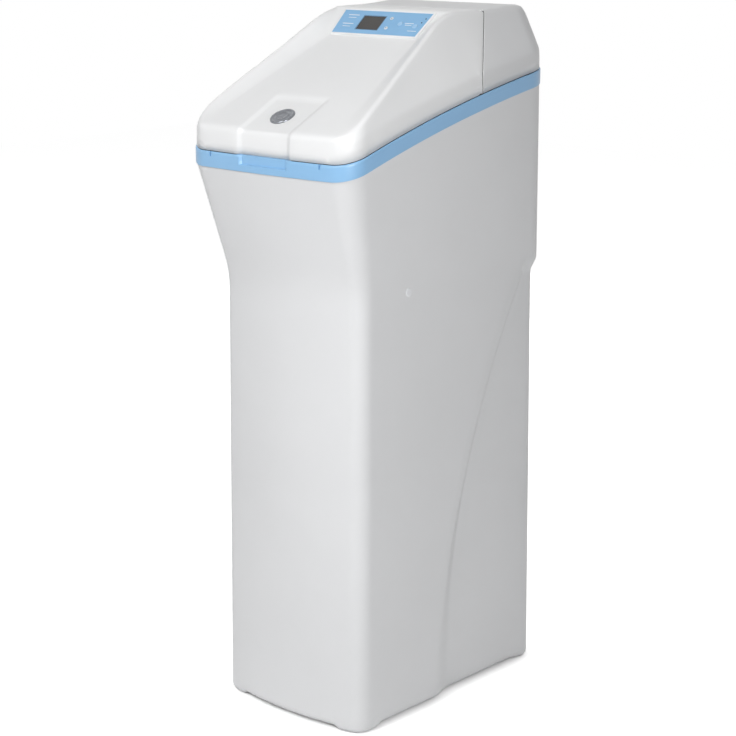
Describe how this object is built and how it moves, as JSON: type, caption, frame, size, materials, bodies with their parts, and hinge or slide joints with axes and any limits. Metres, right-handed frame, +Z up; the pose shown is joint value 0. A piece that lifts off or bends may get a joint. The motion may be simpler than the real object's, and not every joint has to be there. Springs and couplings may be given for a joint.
{
  "type": "water softener",
  "caption": "Free-standing cabinet water softener: flared white salt cabinet, blue rim, hinged sloped lid with control panel, resin tank and motor-driven valve under a rear cover",
  "frame": {"origin": "bottom centre of the bounding box, on the floor", "axes": "+X to the right of the front, +Y to the rear, +Z up"},
  "size_m": [0.35, 0.508, 1.124],
  "materials": {
    "white_moulding": "fine-grained moulded polymer",
    "hood_white": "smooth satin moulding",
    "rim_blue": "smooth moulded band",
    "panel_blue": "printed overlay film",
    "display_dark": "smoked window",
    "badge_metal": "plain domed disc",
    "key_white": "moulded key",
    "key_blue": "moulded key",
    "lamp_dark": "small lens",
    "natural_polymer": "uncoloured polymer",
    "black_polymer": "glass-filled polymer",
    "dark_polymer": "glass-filled polymer",
    "grey_polymer": "moulded polymer",
    "steel": "drawn",
    "zinc": "plated",
    "rubber_black": "moulded rubber",
    "tank_shell": "wound glass-fibre shell",
    "resin": "packed beads",
    "board_green": "solder resist"
  },
  "bodies": {
    "housing": {"cabinet": "white_moulding", "rim": "rim_blue", "rear_cover": "hood_white", "bulkhead": "natural_polymer", "side_plug": "white_moulding", "lead_grommet": "rubber_black", "hinge_fixed_leaves": "zinc", "hinge_pins": "steel", "resin_tank": "tank_shell", "tank_boot": "black_polymer", "resin_bed": "resin", "riser_tube": "natural_polymer", "bottom_basket": "black_polymer", "top_basket": "black_polymer", "neck_seal": "rubber_black", "tank_clamp": "black_polymer", "valve_body": "dark_polymer", "valve_cover": "dark_polymer", "cover_screws": "steel", "motor": "zinc", "position_switch": "black_polymer", "meter_support": "grey_polymer", "port_adaptors": "dark_polymer", "port_clips": "natural_polymer", "port_seals": "rubber_black", "drain_elbow": "grey_polymer", "venturi_body": "dark_polymer", "venturi_gasket": "rubber_black", "venturi_cap": "grey_polymer", "brine_tube": "natural_polymer", "brine_well": "natural_polymer", "brine_valve": "grey_polymer", "float_rod": "natural_polymer", "overflow_grommet": "rubber_black", "overflow_elbow": "grey_polymer"},
    "hood": {"lid": "hood_white", "panel_frame": "hood_white", "panel": "panel_blue", "display_lens": "display_dark", "status_lamps": "lamp_dark", "circuit_board": "board_green", "badge": "badge_metal", "hinge_lid_leaves": "zinc"},
    "up_key": {"up_button": "key_white"},
    "down_key": {"down_button": "key_white"},
    "select_key": {"select_button": "key_blue"},
    "recharge_key": {"recharge_button": "key_blue"},
    "cam": {"cam_gear": "natural_polymer"},
    "pinion": {"motor_pinion": "steel"},
    "turbine": {"meter_turbine": "natural_polymer"},
    "float": {"brine_float": "natural_polymer"},
    "cap": {"well_cap": "natural_polymer"}
  },
  "joints": [
    {"name": "lid_hinge", "type": "hinge", "parent": "housing", "child": "hood", "pos_m": [0, 0.1128, 1.1135], "axis": [-1, 0, 0], "range_deg": [0, 80]},
    {"name": "up_press", "type": "slide", "parent": "hood", "child": "up_key", "axis": [0, 0.6293, -0.7771], "range_m": [0, 0.0008], "stiffness_N_per_m": 400},
    {"name": "down_press", "type": "slide", "parent": "hood", "child": "down_key", "axis": [0, 0.6293, -0.7771], "range_m": [0, 0.0008], "stiffness_N_per_m": 400},
    {"name": "select_press", "type": "slide", "parent": "hood", "child": "select_key", "axis": [0, 0.6293, -0.7771], "range_m": [0, 0.0008], "stiffness_N_per_m": 400},
    {"name": "recharge_press", "type": "slide", "parent": "hood", "child": "recharge_key", "axis": [0, 0.6293, -0.7771], "range_m": [0, 0.0008], "stiffness_N_per_m": 400},
    {"name": "cam_turn", "type": "hinge", "parent": "housing", "child": "cam", "pos_m": [0, 0.138, 1.0175], "axis": [0, 0, 1], "continuous": true},
    {"name": "pinion_turn", "type": "hinge", "parent": "housing", "child": "pinion", "pos_m": [0.052, 0.138, 1.0175], "axis": [0, 0, 1], "continuous": true},
    {"name": "turbine_spin", "type": "hinge", "parent": "housing", "child": "turbine", "pos_m": [0.038, 0.2, 0.9581], "axis": [0, 1, 0], "continuous": true},
    {"name": "float_rise", "type": "slide", "parent": "housing", "child": "float", "axis": [0, 0, 1], "range_m": [0, 0.08]},
    {"name": "cap_lift", "type": "slide", "parent": "housing", "child": "cap", "axis": [0, 0, 1], "range_m": [0, 0.12]}
  ],
  "couplings": [
    {"joint": "pinion_turn", "follows": "cam_turn", "ratio": -3.3333}
  ]
}
